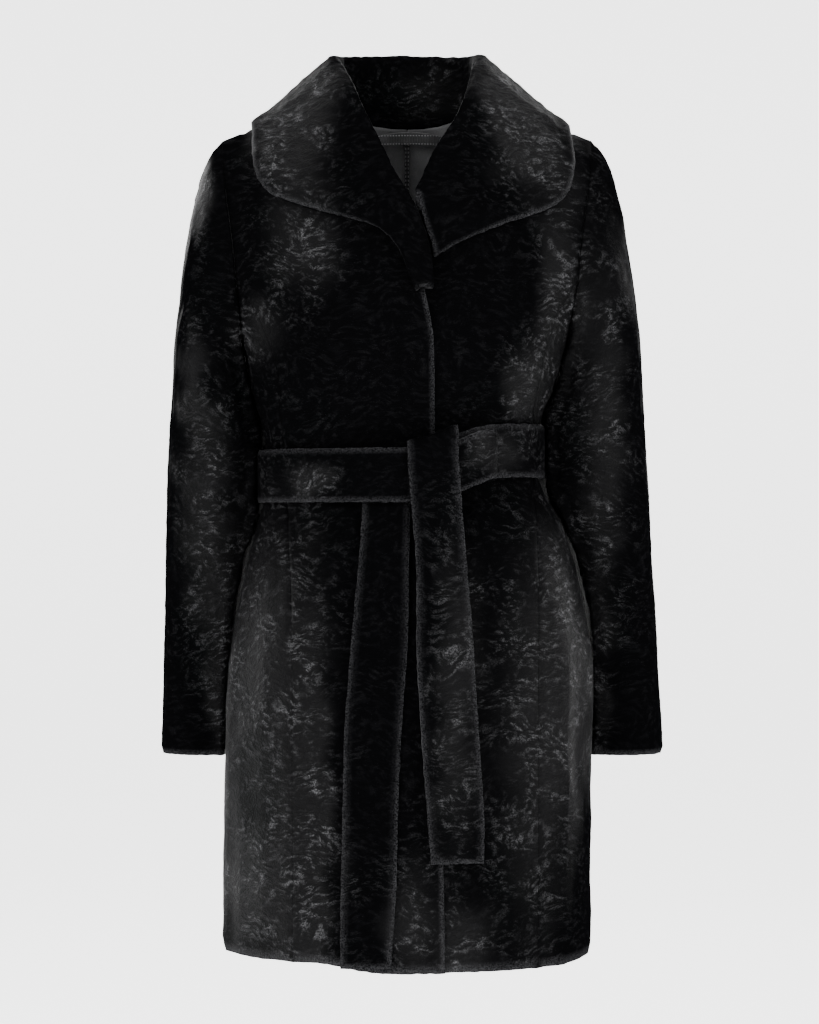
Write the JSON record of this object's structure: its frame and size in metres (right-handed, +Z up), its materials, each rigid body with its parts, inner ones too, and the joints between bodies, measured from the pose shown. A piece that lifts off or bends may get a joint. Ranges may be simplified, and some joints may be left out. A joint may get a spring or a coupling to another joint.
{
  "type": "shearling stroller coat",
  "caption": "Belted hip-length coat of black clipped shearling with a high wing collar, worn filled out and hollow.",
  "frame": {"origin": "middle of the neck, just under the shoulder neck points, where the wearer's shoulders hold the coat", "axes": "+Z up, the front faces -Y, +X is the wearer's left"},
  "size_m": [0.5224, 0.2985, 0.9241],
  "materials": {
    "black_shearling": "clipped wool side of shearling, near black, soft sheen on crushed ridges",
    "grey_suede": "matte grey suede, the skin side"
  },
  "bodies": {
    "root": {"front_right": "black_shearling", "front_left": "black_shearling", "side_right": "black_shearling", "side_left": "black_shearling", "back_right": "black_shearling", "back_left": "black_shearling", "sleeve_right": "black_shearling", "sleeve_left": "black_shearling", "collar": "black_shearling", "belt_tail_under": "black_shearling", "belt_wrap": "black_shearling", "belt_knot": "black_shearling", "belt_tail_front": "black_shearling", "hanger_loop": "grey_suede", "centre_back_tape": "grey_suede"}
  },
  "joints": []
}
